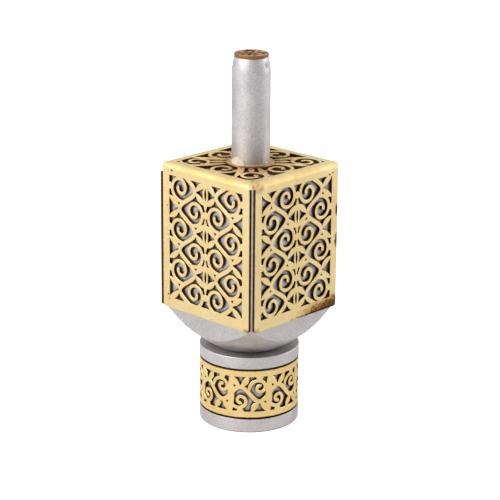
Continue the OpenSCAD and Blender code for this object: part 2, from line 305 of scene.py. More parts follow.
def coil(middle, start_r, far_r, start, far_turn, hand, steps=64):
    """A strip wound inwards. Its radius falls to the end radius as a power of the way that is left, set so
    that it passes its far side at a given radius; it grows from a narrow root, tapers and ends in a bulb."""
    s = np.linspace(0, 1, steps + 1)
    fall = math.log((far_r - coil_end_r) / (start_r - coil_end_r)) / math.log(1 - far_turn / 360 / coil_turns)
    radius = coil_end_r + (start_r - coil_end_r) * (1 - s) ** fall
    turn = np.radians(start + hand * 360 * coil_turns * s)
    path = middle + radius[:, None] * np.stack([np.cos(turn), np.sin(turn)], 1)
    root = np.minimum(1, coil_root + s / root_len)
    swell = 1 - coil_taper * s + bulb_swell * np.maximum(0, s - bulb_from)
    tip = np.sqrt(tip_blunt - (np.maximum(0, s - tip_from) / (1 - tip_from)) ** 2)
    return strip(path, coil_w * (root * swell) * tip)


def scroll(width, pitch, rows):
    """A running scroll that fills a strip from x = 0 to its width: a vine sways along Y as a sine, a coil
    fills each hollow of the vine, and two leaves grow from the back of each bend."""
    sway = vine_sway * width
    way = np.linspace(-vine_over, rows + vine_over, vine_steps * rows)
    vine = np.stack([width / 2 + sway * np.sin(np.pi * way), pitch * (way - rows / 2)], 1)
    radius = min((width / 2 + sway - vine_w / 2 - 2 * fret_gap) / 2, coil_fill * pitch) - coil_w / 2
    far = width / 2 - fret_gap - radius - coil_w / 2
    dip = math.degrees(math.atan2(pitch / 2, far))
    shapes = [strip(vine, vine_w)]
    for row in range(rows):
        side = 1 - 2 * (row % 2)
        y = pitch * (row + 0.5 - rows / 2)
        start = -dip if side > 0 else 180 + dip
        middle = (width / 2 - side * far, y)
        shapes.append(coil(middle, math.hypot(far, pitch / 2), radius, start, 180 - dip, -side))
        for turn in (leaf_spread, -leaf_spread):
            reach = (width / 2 - sway) / math.cos(math.radians(turn)) + leaf_bite
            grown = leaf(reach, leaf_w, math.copysign(leaf_bow, turn * side))
            shapes.append(placed(grown, width / 2 + side * sway, y, turn if side > 0 else 180 - turn))
    return shapes


def inside(points, outline):
    """Which points an outline winds round: to the right of such a point, its upward and its downward
    crossings differ in number."""
    found = np.zeros(len(points), bool)
    near = np.flatnonzero(((points > outline.min(0)) & (points < outline.max(0))).all(1))
    x, y = points[near].T[..., None]
    ax, ay = outline.T
    bx, by = np.roll(outline, -1, 0).T
    left = (bx - ax) * (y - ay) - (x - ax) * (by - ay)
    upward = ((ay <= y) & (by > y) & (left > 0)).sum(1)
    downward = ((ay > y) & (by <= y) & (left < 0)).sum(1)
    found[near] = upward != downward
    return found


def in_brass(points, blanks, windows, scrolls, almonds=(), slits=(), holes=()):
    """Which points of a cut sheet are brass: those in a blank but not in a window, and in the windows those
    in a scroll, or in an almond but not in its slit. A hole takes brass away everywhere."""
    nowhere = np.zeros(len(points), bool)
    blank, window, fret, almond, slit, hole = (
        np.any([nowhere, *(inside(points, outline) for outline in group)], 0)
        for group in (blanks, windows, scrolls, almonds, slits, holes))
    return ((blank & ~window) | fret | (almond & ~slit)) & blank & ~hole


def cut_sheet(blanks, windows, scrolls, almonds=(), slits=(), holes=(), lines=()):
    """A flat sheet as cut: the blanks less the windows, with scrolls left in the windows, and almonds with
    slits. All outlines are drawn into one net of triangles, and those whose middle is in brass are kept.
    The front is drawn in a little from every rim, so that a narrow slope runs round it down to the walls.
    Bend lines split the triangles where the sheet is bent. Gives corners (x, y, height), faces, and 1 for
    each face that the beam has burnt: the back and the walls."""
    outlines = [*blanks, *windows, *scrolls, *almonds, *slits, *holes]
    first = np.concatenate([[0], np.cumsum([len(o) for o in outlines + list(lines)])])
    closed_edges = [np.stack([np.arange(len(o)), (np.arange(len(o)) + 1) % len(o)], 1) + f
                    for o, f in zip(outlines, first)]
    open_edges = [np.stack([np.arange(len(o) - 1), np.arange(1, len(o))], 1) + f
                  for o, f in zip(lines, first[len(outlines):])]
    points = [Vector(p) for p in np.concatenate(outlines + list(lines)).tolist()]
    net = delaunay_2d_cdt(points, np.concatenate(closed_edges + open_edges).tolist(), [], 0, net_tol, False)
    flat = np.array([tuple(p) for p in net[0]])
    triangles = np.array(net[2])
    brass = in_brass(flat[triangles].mean(1), blanks, windows, scrolls, almonds, slits, holes)
    used, triangles = np.unique(triangles[brass], return_inverse=True)
    triangles = triangles.reshape(-1, 3)
    flat = flat[used]
    n = len(flat)
    half_edges = np.concatenate([triangles[:, [0, 1]], triangles[:, [1, 2]], triangles[:, [2, 0]]])
    a, b = half_edges[~np.isin(half_edges @ (1, n), half_edges @ (n, 1))].T
    way = flat[b] - flat[a]
    inward = np.stack([-way[:, 1], way[:, 0]], 1) / np.linalg.norm(way, axis=1, keepdims=True)
    drawn = np.zeros((n, 2))
    np.add.at(drawn, a, inward)
    np.add.at(drawn, b, inward)
    drawn *= 2 * rim_edge / np.maximum((drawn ** 2).sum(1, keepdims=True), mitre_limit)
    front = np.column_stack([flat + drawn, np.full(n, sheet_t)])
    shoulder = np.column_stack([flat, np.full(n, sheet_t - rim_edge)])
    back = np.column_stack([flat, np.zeros(n)])
    slopes = np.stack([b, a, a + n, b + n], 1)
    walls = np.stack([b + n, a + n, a + 2 * n, b + 2 * n], 1)
    sides = [triangles, triangles[:, ::-1] + 2 * n, slopes, walls]
    burnt = np.repeat([0, 1, 0, 1], [len(side) for side in sides])
    kept = np.unique(np.concatenate([np.arange(n), a + n, np.arange(2 * n, 3 * n)]))
    number = np.full(3 * n, -1)
    number[kept] = np.arange(len(kept))
    faces = [face for side in sides for face in number[side].tolist()]
    return np.concatenate([front, shoulder, back])[kept], faces, burnt


def satin_brass(name, light, dark, roughness, stains_and_painted_shade, streak_mm=0.3, patch_mm=6, pit_mm=2.6, ragged_mm=1.1):
    """Yellow brass sheet, wiped to a satin: faint wiping streaks, wide patches where it has dulled, and
    small dark pits. Stains and bands of painted shade are each a place, its reach along X, Y and Z, and a
    strength: the metal there turns tan, and where the strength is high dark brown. Its ragged edge is its
    distance from the place less a noise. Where the mark called bend is 1, the metal has gone rough in a
    fold. Streaks and pits are drawn coarser than real ones, so that they show."""
    material = bpy.data.materials.new(name)
    material.use_nodes = True
    tree = material.node_tree
    shader = tree.nodes["Principled BSDF"]
    place = add(tree, "TexCoord", {}).outputs["Object"]
    stretched = add(tree, "Mapping", {"Vector": place, "Scale": (1, 1, 0.08)})
    streaks = add(tree, "TexNoise", {"Vector": stretched.outputs[0], "Scale": per_mm(streak_mm), "Detail": 3})
    patches = add(tree, "TexNoise", {"Vector": place, "Scale": per_mm(patch_mm), "Detail": 4,
                                     "Roughness": 0.6})
    cells = add(tree, "TexVoronoi", {"Vector": place, "Scale": per_mm(pit_mm)})
    chance = add(tree, "SeparateColor", {0: cells.outputs["Color"]})
    rare = add(tree, "Math", {0: chance.outputs[0], 1: 0.72}, operation="GREATER_THAN")
    near = add(tree, "MapRange", {0: cells.outputs["Distance"], 1: 0.09, 2: 0.04})
    pits = add(tree, "Math", {0: near.outputs[0], 1: rare.outputs[0]}, operation="MULTIPLY")
    share = add(tree, "MapRange", {0: patches.outputs["Fac"], 1: 0.3, 2: 0.72})
    metal = add(tree, "Mix", {0: share.outputs[0], 6: linear(light), 7: linear(dark)}, data_type="RGBA")
    ragged = add(tree, "TexNoise", {"Vector": place, "Scale": per_mm(ragged_mm), "Detail": 5,
                                    "Roughness": 0.7})
    brown = pits.outputs[0]
    for spot, reach, strength in stains_and_painted_shade:
        away = add(tree, "VectorMath", {0: place, 1: [c * MM for c in spot]}, operation="SUBTRACT")
        scaled = add(tree, "VectorMath", {0: away.outputs[0], 1: [per_mm(r) for r in reach]},
                     operation="MULTIPLY")
        far = add(tree, "VectorMath", {0: scaled.outputs[0]}, operation="LENGTH")
        edge = add(tree, "Math", {0: ragged.outputs["Fac"], 1: -1.1, 2: far.outputs["Value"]},
                   operation="MULTIPLY_ADD")
        darkening = add(tree, "MapRange", {0: edge.outputs[0], 1: 0.4, 2: -0.1, 3: 0, 4: strength})
        brown = add(tree, "Math", {0: brown, 1: darkening.outputs[0]}, operation="MAXIMUM").outputs[0]
    tan_share = add(tree, "MapRange", {0: brown, 1: 0, 2: 0.55})
    tanned = add(tree, "Mix", {0: tan_share.outputs[0], 6: metal.outputs[2], 7: linear("#a87336")},
                 data_type="RGBA")
    dark_share = add(tree, "MapRange", {0: brown, 1: 0.45, 2: 1})
    colour = add(tree, "Mix", {0: dark_share.outputs[0], 6: tanned.outputs[2], 7: linear("#2e1d10")},
                 data_type="RGBA")
    gloss = add(tree, "MapRange", {0: patches.outputs["Fac"], 1: 0.3, 2: 0.7, 3: roughness - 0.05,
                                   4: roughness + 0.07})
    bend = add(tree, "Attribute", {}, attribute_name="bend").outputs["Fac"]
    rough = add(tree, "Math", {0: bend, 1: 0.3, 2: gloss.outputs[0]}, operation="MULTIPLY_ADD")
    height = add(tree, "Math", {0: streaks.outputs["Fac"], 1: 0.2, 2: patches.outputs["Fac"]},
                 operation="MULTIPLY_ADD")
    bump = add(tree, "Bump", {"Strength": 0.25, "Distance": 0.12 * MM, "Height": height.outputs[0]})
    tree.links.new(colour.outputs[2], shader.inputs["Base Color"])
    tree.links.new(rough.outputs[0], shader.inputs["Roughness"])
    tree.links.new(bump.outputs[0], shader.inputs["Normal"])
    shader.inputs["Metallic"].default_value = 1
    return material


def burnt_brass(name, soot_mm=0.5):
    """The wall of a cut, browned by the beam: dark brown deep down and lighter brown towards the front,
    where the mark called depth is 1, with specks of soot that are drawn coarse, so that they show."""
    material = bpy.data.materials.new(name)
    material.use_nodes = True
    tree = material.node_tree
    shader = tree.nodes["Principled BSDF"]
    place = add(tree, "TexCoord", {}).outputs["Object"]
    depth = add(tree, "Attribute", {}, attribute_name="depth").outputs["Fac"]
    soot = add(tree, "TexNoise", {"Vector": place, "Scale": per_mm(soot_mm), "Detail": 4})
    share = add(tree, "Math", {0: soot.outputs["Fac"], 1: depth}, operation="MULTIPLY")
    fade = add(tree, "MapRange", {0: share.outputs[0], 1: 0.2, 2: 0.75})
    colour = add(tree, "Mix", {0: fade.outputs[0], 6: linear("#4e2e0e"), 7: linear("#96683a")},
                 data_type="RGBA")
    bump = add(tree, "Bump", {"Strength": 0.4, "Distance": 0.05 * MM, "Height": soot.outputs["Fac"]})
    tree.links.new(colour.outputs[2], shader.inputs["Base Color"])
    tree.links.new(bump.outputs[0], shader.inputs["Normal"])
    shader.inputs["Metallic"].default_value = 0.7
    shader.inputs["Roughness"].default_value = 0.5
    return material


def strip_box(ends, height):
    """A rectangle along X between two ends, with its middle on the axis."""
    x = np.array(ends)[[0, 1, 1, 0]]
    return np.column_stack([x, height / 2 * np.array([-1, -1, 1, 1])])


def corners_of(made):
    """The corners of a piece in millimetres, one row each."""
    places = np.empty(3 * len(made.data.vertices), np.float32)
    made.data.vertices.foreach_get("co", places)
    return places.reshape(-1, 3) / MM


def soot_and_shade_under_sheet(made, chosen, points, **sheet):
    """Painted shade where a cut sheet overhangs a piece, with some soot and glue that crept out from under
    it.
    The points are the places of a piece's chosen corners on the flat sheet. The darkening on each grows
    with the share of a small ring round it that lies under brass, and is full from a half on."""
    share = np.mean([in_brass(points + way, **sheet) for way in ring(soot_creep, steps=12)], 0)
    mark = made.data.attributes["soot"].data
    soot = np.empty(len(mark), np.float32)
    mark.foreach_get("value", soot)
    soot[chosen] = np.maximum(soot[chosen], soot_most * np.minimum(1, 2 * share))
    mark.foreach_set("value", soot)


band_scroll = [s[:, ::-1] - (0, window_band / 2) + (k * pair_len, 0)
               for k in pairs for s in scroll(window_band, pair_len / 2, 2)]
band_beads = [ring(bead_d / 2, k * pair_len + side * pair_len / 4, side * window_band / 2)
              for k in pairs for side in (-1, 1)]
band_almonds = [placed(leaf(almond_l, almond_w), (k - 0.5) * pair_len, -almond_l / 2, 90)
                for k in [*pairs, pairs[-1] + 1]]
band_lines = [np.array([(x, -band_h), (x, band_h)]) for x in np.linspace(*band_ends, band_bends + 1)[1:-1]]
band_sheet = dict(blanks=[strip_box(band_ends, band_h)],
                  windows=[strip_box(band_ends * window_over, window_band)],
                  scrolls=band_scroll + band_beads + band_almonds)
band_flat, band_faces, band_burnt = cut_sheet(**band_sheet, lines=band_lines)
flat_x, flat_y, band_depth = band_flat.T
band_turn = flat_x / band_r - np.pi / 2
depth_r = groove_r + band_depth
band_corners = np.stack([depth_r * np.cos(band_turn), depth_r * np.sin(band_turn), band_z + flat_y], 1)
# Painted shade: the top and bottom edges of the band are painted dark brown, for the shade in the narrow gaps
# above and below it.
band_edge_painted_shade = [((0, 0, band_z + side * band_h / 2), (everywhere, everywhere, edge_painted_shade_reach), 1)
               for side in (-1, 1)]
band_brass = satin_brass("satin_brass_band", "#fbe2a2", "#f0d08b", 0.42, band_edge_painted_shade)
cut_wall = burnt_brass("burnt_brass_cut")
band = piece("stand_band_cut", band_corners, band_faces, [band_brass, cut_wall], band_burnt,
             depth=band_depth / sheet_t)
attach(band, "stand")
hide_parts("stand_band")
# Painted shade: the floor of the groove is painted dark brown under the edges of the band's openings, where
# the brass overhangs it, with some soot and glue.
net_x, net_y, net_z = corners_of(cup).T
on_groove = np.abs(np.hypot(net_x, net_y) - groove_r) < touching
behind_band = on_groove & (np.abs(net_z - band_z) < window_band / 2)
unrolled = (band_r * (np.arctan2(net_y, net_x) + np.pi / 2) - seam_x) % (pair_len * band_pairs) + seam_x
soot_and_shade_under_sheet(cup, behind_band, np.column_stack([unrolled, net_z - band_z])[behind_band], **band_sheet)

# Block: a length of square aluminium bar, turned below to a dome with a blunt point that it spins on. Its
# four upright edges are broken by a narrow flat, which shows in the slots between the flaps of the cover.
block_low, block_high = (np.array(c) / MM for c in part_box("turned_block"))
face_x = block_high[0]
block_z = block_high[2]
bar_edge = 0.3
edge_break = 0.12
bend_r = 0.5
dome_arc_r = 60
dome_slope = math.radians(47.5)
face_columns = 91
dome_count = 41
side_count = 112
top_count = 42
bar_corner_r = face_x * math.sqrt(2)
arc_x = bar_corner_r - dome_arc_r * math.sin(dome_slope)
tip_drop = math.sqrt(dome_arc_r ** 2 - arc_x ** 2)
fold_z = block_z - bend_r
fold_x = face_x - bend_r
# The net is a grid of turn and height: square outlines that shrink to the point below and to the middle of
# the top. It is fine on the sides and the top, so that painted shade can follow the openings of the cover.
flat_turn = np.arctan(np.linspace(-1, 1, face_columns) * (face_x - bar_edge) / face_x)
block_turn = np.concatenate([flat_turn + k * np.pi / 2 for k in range(4)])
across = np.abs(np.cos(block_turn)), np.abs(np.sin(block_turn))
outline_r = np.minimum(face_x / np.maximum(*across), (2 * face_x - bar_edge) / (across[0] + across[1]))
dome_r = np.linspace(0, 1, dome_count)[:, None] * outline_r
dome_rows = block_low[2] + tip_drop - np.sqrt(dome_arc_r ** 2 - (dome_r - arc_x) ** 2)
side_share = np.linspace(0, 1, side_count)[1:, None]
side_rows = dome_rows[-1] + side_share * (fold_z - dome_rows[-1])
top_r = np.linspace(fold_x / face_x, 0, top_count)[:, None] * outline_r
block_r = np.concatenate([dome_r, outline_r + 0 * side_rows, top_r])
block_rows = np.concatenate([dome_rows, side_rows, block_z + 0 * top_r])
block_corners = np.stack([block_r * np.cos(block_turn), block_r * np.sin(block_turn), block_rows], -1)
block_along = np.concatenate([dome_r, side_rows + outline_r, block_z + outline_r + 0 * top_r]).ravel()
block_aluminium = satin_aluminium("turned_aluminium_block", "#d6d2d2", "#b4b0b0", roughness=0.5, mark_mm=0.3)
block = piece("block_turned", block_corners.reshape(-1, 3), wound(len(block_r), len(block_turn)),
              [block_aluminium], along=block_along, soot=0 * block_along)
broken_edges = block.modifiers.new("broken_edges", "BEVEL")
broken_edges.width = edge_break * MM
broken_edges.segments = 2
broken_edges.limit_method = "ANGLE"
broken_edges.angle_limit = sharp_turn
broken_edges.harden_normals = True
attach(block, "dreidel")
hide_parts("turned_block")

# Cover: one brass sheet, cut through in scrolls while flat and in the shape of a cross, then folded down
# over the four sides of the block. Its corners are pressed round, and below them slots part the flaps.
cover_low, cover_high = (np.array(c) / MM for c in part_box("fretwork_cover"))
flap_w = 2 * (face_x - bar_edge)
flap_h = fold_z - cover_low[2]
flap_corner_r = 0.8
flap_lap = 0.9
no_lap = 0.01
sharp_r = 0.01
cover_h = cover_high[2] - cover_low[2]
border_side = 2.3
border_end = 2.9
border_top = 2.9
border_stem = 1.1
flap_coils = 6
slit_w = 0.7
stem_hole_r = 5.05
top_turn = 29
corner_turn = 20
bend_steps = 8
fine_steps = 96
window_w = flap_w - 2 * border_side
window_h = cover_h - 2 * border_end
window_top = face_x + sheet_t - border_top
stem_ring_r = stem_hole_r + border_stem
bend_len = (bend_r + sheet_t) * np.pi / 2


def rounded_square(half, radius, steps=8):
    """The outline that runs a radius outside a square, with quarter circles about the square's corners."""
    turn = np.linspace(0, np.pi / 2, steps + 1)
    corner = np.stack([half + radius * np.cos(turn), half + radius * np.sin(turn)], 1)
    return np.concatenate([placed(corner, 0, 0, 90 * k) for k in range(4)])


def flap_place(outline, k):
    """An outline on a flap, drawn about the cover's middle height, moved to flap k of the flat cross."""
    return placed(outline + (0, cover_low[2] + cover_h / 2 - fold_z - fold_x - bend_len), 0, 0, 90 * k)


def flap_scrolls(up):
    """The scrolls with their beads, the almonds and the slits of one flap. Two scrolls that mirror each
    other run side by side, and they are upside down where up is -1."""
    pitch = window_h / flap_coils
    scrolls = [s * (side, up) for side in (-1, 1) for s in scroll(window_w / 2, pitch, flap_coils)]
    rows = up * pitch * (np.arange(flap_coils) + 0.5 - flap_coils / 2)
    scrolls += [ring(bead_d / 2, 0, y) for y in rows[::2]]
    scrolls += [ring(bead_d / 2, side * window_w / 2, y) for y in rows[1::2] for side in (-1, 1)]
    length, gap = 2 * (pitch + leaf_bite) - bead_d, pitch - bead_d
    almonds = [placed(leaf(length, almond_w), 0, y - length / 2, 90) for y in rows[1::2]]
    slits = [placed(leaf(gap, slit_w), 0, y - gap / 2, 90) for y in rows[1::2]]
    return scrolls, almonds, slits


def top_scrolls():
    """The coils, beads and leaves of the top panel, which turn about the stem four times."""
    reach = window_top - stem_ring_r
    side_r = (reach - coil_w) / 2
    corner_x = window_top - fret_gap - side_r
    root_r = stem_ring_r - border_stem / 2
    long_r = window_top / math.cos(math.radians(top_turn)) + leaf_bite
    shapes = [coil((stem_ring_r + reach / 2, 0), (reach + border_stem) / 2, side_r, 180, 180, -1),
              coil((corner_x, corner_x), window_top + leaf_bite - corner_x, side_r, corner_turn, 180, 1),
              ring(bead_d / 2, window_top)]
    for turn, end_r in (top_turn, long_r), (90 - top_turn, long_r), (45, corner_x * math.sqrt(2) - side_r):
        shapes.append(placed(leaf(end_r - root_r, leaf_w) + (root_r, 0), 0, 0, turn))
    return [placed(s, 0, 0, 90 * k) for s in shapes for k in range(4)]


def folded(flat):
    """The flat cross folded over the block. A point beyond the edge of the top panel first goes round the
    fold, by an angle that grows with its distance, and past the fold it goes straight down. Beside the
    corners of the top panel the fold turns about the corner, which makes an eighth of a ball. Gives the
    corners, and a mark that is 1 in the middle of a fold and 0 on flat sheet."""
    x, y, height = flat.T
    inner_x, inner_y = np.clip(x, -fold_x, fold_x), np.clip(y, -fold_x, fold_x)
    away = np.stack([x - inner_x, y - inner_y], 1)
    past = np.abs(away).max(1) > bend_len
    side = np.where(np.abs(away[:, :1]) > np.abs(away[:, 1:]), (1, 0), (0, 1))
    on_fold = np.where(side, fold_x * np.sign(away), flat[:, :2])
    inner = np.where(past[:, None], on_fold, np.stack([inner_x, inner_y], 1))
    away = np.where(past[:, None], away * side, away)
    far = np.linalg.norm(away, axis=1)
    out = away / np.maximum(far, 1e-9)[:, None]
    turn = np.minimum(far / bend_len, 1) * np.pi / 2
    radius = bend_r + height
    flat_part = inner + out * (radius * np.sin(turn))[:, None]
    corners = np.column_stack([flat_part, fold_z + radius * np.cos(turn) - np.maximum(far - bend_len, 0)])
    return corners, np.sin(2 * turn)


def flap_outline(lap):
    """The outline of a flap, which starts a little inside its fold, with round lower corners. One flap laps
    past its neighbour by a narrow strip at its right, which starts below the fold."""
    start_y = flap_h - cover_h / 2 + bend_len / bend_steps
    side_x, lap_y = flap_w / 2, flap_h - cover_h / 2 - bend_r - sheet_t
    return filleted(
        [(0, start_y), (-side_x, start_y), (-side_x, -cover_h / 2), (side_x + lap, -cover_h / 2),
         (side_x + lap, lap_y), (side_x, lap_y), (side_x, start_y), (0, start_y)],
        [sharp_r, flap_corner_r, flap_corner_r, lap / 2, sharp_r, sharp_r])[:-1]


flap_window = strip_box((-window_w / 2, window_w / 2), window_h)
flap_blanks = [flap_outline(lap) for lap in (no_lap, no_lap, no_lap, flap_lap)]
flap_parts = [flap_scrolls(up) for up in (1, -1, 1, -1)]
top_window = strip_box((-window_top, window_top), 2 * window_top)
top_blank = rounded_square(fold_x, bend_len)
top_parts = top_scrolls() + [ring(stem_ring_r, steps=fine_steps)]
cover_scrolls, cover_almonds, cover_slits = (
    [flap_place(s, k) for k in range(4) for s in flap_parts[k][kind]] for kind in range(3))
bend_rings = [strip_box((-fold_x, fold_x), 2 * fold_x)]
bend_rings += [rounded_square(fold_x, bend_len * j / bend_steps) for j in range(1, bend_steps)]
cover_flat, cover_faces, cover_burnt = cut_sheet(
    [top_blank] + [flap_place(flap_blanks[k], k) for k in range(4)],
    [top_window] + [flap_place(flap_window, k) for k in range(4)],
    top_parts + cover_scrolls, cover_almonds, cover_slits, [ring(stem_hole_r, steps=fine_steps)],
    [np.concatenate([r, r[:1]]) for r in bend_rings])
cover_corners, cover_bend = folded(cover_flat)
out_x = cover_high[0]
edge_x = flap_w / 2
low_z = cover_low[2]
top_z = cover_high[2]
# Heat has browned the lower right corner and the right edge of one flap. The other stains are small dark
# specks, brown smears at the front corner and a tan of old glue round the stem.
cover_stains = [
    ((out_x, edge_x + 1, low_z - 0.3), (2, 18, 4.4), 0.8),
    ((out_x, edge_x - 4, low_z), (2, 15, 1.1), 1),
    ((out_x, edge_x, low_z + 18), (1, 1.2, 3), 0.95),
    ((out_x, edge_x, low_z + 26), (1, 1.1, 2.4), 0.95),
    ((out_x, edge_x - 2.1, top_z - 2.3), (1, 0.35, 0.35), 1),
    ((out_x, edge_x - 3.3, top_z - 2.6), (1, 0.4, 0.3), 1),
    ((out_x, edge_x - 2.6, top_z - 3.3), (1, 0.25, 0.25), 1),
    ((edge_x, 1.6 - edge_x, top_z - 1.4), (2, 2.6, 1.7), 0.42),
    ((out_x, -out_x, top_z - 0.3), (1.8, 1.8, 1.6), 0.3),
    ((edge_x, -edge_x, low_z + 0.2), (2.4, 2.4, 1.3), 0.5),
    ((3.2 - edge_x, -out_x, top_z - 1.6), (0.5, 1, 0.3), 1),
    ((1.9 - edge_x, -out_x, low_z + 3.6), (0.3, 1, 0.3), 1),
    ((0, 0, top_z + 0.3), (15, 15, 1.1), 0.42),
    ((3.5, -3.5, top_z + 0.2), (5, 5, 1.2), 0.62),
    ((2.1 - edge_x, -out_x, low_z + 2.4), (0.25, 1, 0.25), 1)]
cover_brass = satin_brass("satin_brass_cover", "#f6e0aa", "#ebcf94", 0.47, cover_stains)
cover = piece("cover_cut_sheet", cover_corners, cover_faces, [cover_brass, cut_wall], cover_burnt,
              depth=cover_flat[:, 2] / sheet_t, bend=cover_bend)
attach(cover, "dreidel")
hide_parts("fretwork_cover")
# Painted shade: the block is painted dark brown under the edges of the cover's openings, where the brass
# overhangs it, with some soot and glue.
block_net = corners_of(block)
for k in range(4):
    scrolls, almonds, slits = flap_parts[k]
    flap_x, flap_out = placed(block_net[:, :2], 0, 0, -90 * k).T
    on_flap = np.column_stack([flap_x, block_net[:, 2] - cover_low[2] - cover_h / 2])
    behind_flap = (np.abs(flap_out + face_x) < touching) & inside(on_flap, flap_window)
    soot_and_shade_under_sheet(block, behind_flap, on_flap[behind_flap], blanks=flap_blanks[:1], windows=[flap_window],
         scrolls=scrolls, almonds=almonds, slits=slits)
under_top = (np.abs(block_net[:, 2] - block_z) < touching) & inside(block_net[:, :2], top_window)
soot_and_shade_under_sheet(block, under_top, block_net[under_top, :2], blanks=[top_blank], windows=[top_window], scrolls=top_parts)

# Stem dowel: a ground steel pin, glued into the block and the stem to hold them in line. It is hidden while
# the dreidel is whole, so it keeps its plain solid, and only its finish is made here: grinding lines that
# run round it, drawn coarser than real ones.
pin_line_mm = 0.2
pin_steel = bpy.data.materials.new("ground_steel_pin")
pin_steel.use_nodes = True
pin_tree = pin_steel.node_tree
pin_place = add(pin_tree, "TexCoord", {}).outputs["Object"]
pin_stretch = add(pin_tree, "Mapping", {"Vector": pin_place, "Scale": (0.1, 0.1, 1)})
pin_lines = add(pin_tree, "TexNoise", {"Vector": pin_stretch.outputs[0], "Scale": per_mm(pin_line_mm),
                                       "Detail": 3})
pin_shader = pin_tree.nodes["Principled BSDF"]
pin_colour = add(pin_tree, "Mix", {0: pin_lines.outputs["Fac"], 6: linear("#84878b"), 7: linear("#b4b7bb")},
                 data_type="RGBA")
pin_tree.links.new(pin_colour.outputs[2], pin_shader.inputs["Base Color"])
pin_shader.inputs["Metallic"].default_value = 1
pin_shader.inputs["Roughness"].default_value = 0.3
pin_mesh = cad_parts["stem_dowel"].data
pin_mesh.materials.clear()
pin_mesh.materials.append(pin_steel)

# Stem: a length of round aluminium rod that the fingers twist, with its upper end filed to a gentle taper.
# It is glued over the pin and stands on the block inside the ring of the cover. A knock has left a small
# dent near its end.
stem_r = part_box("stem")[1].x / MM
stem_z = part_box("stem")[1].z / MM
stem_end_r = 4.25
stem_end_len = 4.2
stem_end_h = 0.3
stem_end_edge = 0.25
dent_turn = math.radians(11)
dent_z = stem_z - 2.1
dent_depth = 0.2
dent_reach = 0.85
# The metal in the dent is painted darker by this share.
dent_darkening = 0.5
glue_rise = 0.3
glue_out = 0.36
glue_sink = 0.1
glue_round = 1.5
glue_waves = [(0.06, 3, 1), (0.05, 8, 2), (0.04, 19, 0)]
lump_turn = math.radians(-90)
lump_half = math.radians(27)
lump_rise = 1.7
lump_ripple = 0.25
lump_ripples = 11
lump_thin = 0.1
lump_flat = 6
glue_mm = 1.2
stem_columns = 120
stem_count = 80
glue_columns = 240
glue_count = 7
stem_rows = np.linspace(block_z, stem_z - stem_end_h, stem_count)
taper = np.maximum(0, stem_rows - stem_z + stem_end_len) / stem_end_len
stem_shaft = np.column_stack([stem_r + (stem_end_r - stem_r) * taper ** 2, stem_rows])
stem_end = filleted([stem_shaft[-1], (stem_end_r, stem_z), (0, stem_z)], [stem_end_edge])
stem_profile = np.concatenate([[(0, block_z)], stem_shaft, stem_end[1:]])
stem_corners, stem_faces, stem_along = turned(stem_profile, stem_columns)
stem_turn = np.arctan2(stem_corners[:, 1], stem_corners[:, 0])
dent_away = np.hypot(stem_r * (stem_turn - dent_turn), stem_corners[:, 2] - dent_z)
dent = np.exp(-(dent_away / dent_reach) ** 2)
stem_corners[:, :2] *= (1 - dent_depth / stem_r * dent)[:, None]
# A bead of glue has set round the foot of the stem: a quarter round that waves in and out, with a high
# white lump at the front. Its profile is closed inside the stem and a little inside the sheet.
glue_top = cover_high[2]
glue_turn = np.linspace(-np.pi, np.pi, glue_columns, endpoint=False)
lump = np.exp(-((glue_turn - lump_turn) / lump_half) ** lump_flat)
wave = sum(size * np.sin(count * glue_turn + start) for size, count, start in glue_waves)
glue_h = glue_rise + wave + lump * (lump_rise + lump_ripple * np.sin(lump_ripples * glue_turn))
glue_w = glue_out + wave - lump_thin * lump
glue_bend = np.linspace(0, np.pi / 2, glue_count)[:, None]
sunk = 0 * glue_turn - glue_sink
glue_r = stem_r + np.concatenate([glue_w * np.cos(glue_bend), [sunk, sunk, glue_w]])
glue_z = glue_top + np.concatenate([glue_h * np.sin(glue_bend) ** glue_round, [glue_h, sunk, sunk]])
glue_body = np.maximum(0, lump * (1 - ((glue_z - glue_top) / glue_h) ** lump_flat))
glue_loop = np.arange(len(glue_r) + 1) % len(glue_r)
glue_grid = np.stack([glue_r * np.cos(glue_turn), glue_r * np.sin(glue_turn), glue_z], -1)
glue_corners = glue_grid[glue_loop].reshape(-1, 3)
glue_faces = np.array(wound(len(glue_loop), len(glue_turn))) + len(stem_corners)
stem_aluminium = satin_aluminium("turned_aluminium_stem", "#d9d5d6", "#b2aeb0", roughness=0.52, mark_mm=0.4)
# Hardened glue is a dull, cloudy plastic: thin it lets the brass tint it tan, and thick it is nearly white.
glue = bpy.data.materials.new("hardened_glue")
glue.use_nodes = True
glue_tree = glue.node_tree
glue_place = add(glue_tree, "TexCoord", {}).outputs["Object"]
glue_cloud = add(glue_tree, "TexNoise", {"Vector": glue_place, "Scale": per_mm(glue_mm), "Detail": 4})
glue_thick = add(glue_tree, "Attribute", {}, attribute_name="lump").outputs["Fac"]
glue_white = add(glue_tree, "Math", {0: glue_cloud.outputs["Fac"], 1: glue_thick}, operation="ADD")
glue_share = add(glue_tree, "MapRange", {0: glue_white.outputs[0], 1: 0.5, 2: 1.5})
glue_colour = add(glue_tree, "Mix", {0: glue_share.outputs[0], 6: linear("#b09c74"), 7: linear("#f0e9da")},
                  data_type="RGBA")
glue_bump = add(glue_tree, "Bump", {"Strength": 0.5, "Distance": 0.1 * MM,
                                    "Height": glue_cloud.outputs["Fac"]})
glue_shader = glue_tree.nodes["Principled BSDF"]
glue_tree.links.new(glue_colour.outputs[2], glue_shader.inputs["Base Color"])
glue_tree.links.new(glue_bump.outputs[0], glue_shader.inputs["Normal"])
glue_shader.inputs["Roughness"].default_value = 0.35
none_on_glue = np.zeros(len(glue_corners))
none_on_stem = np.zeros(len(stem_corners))
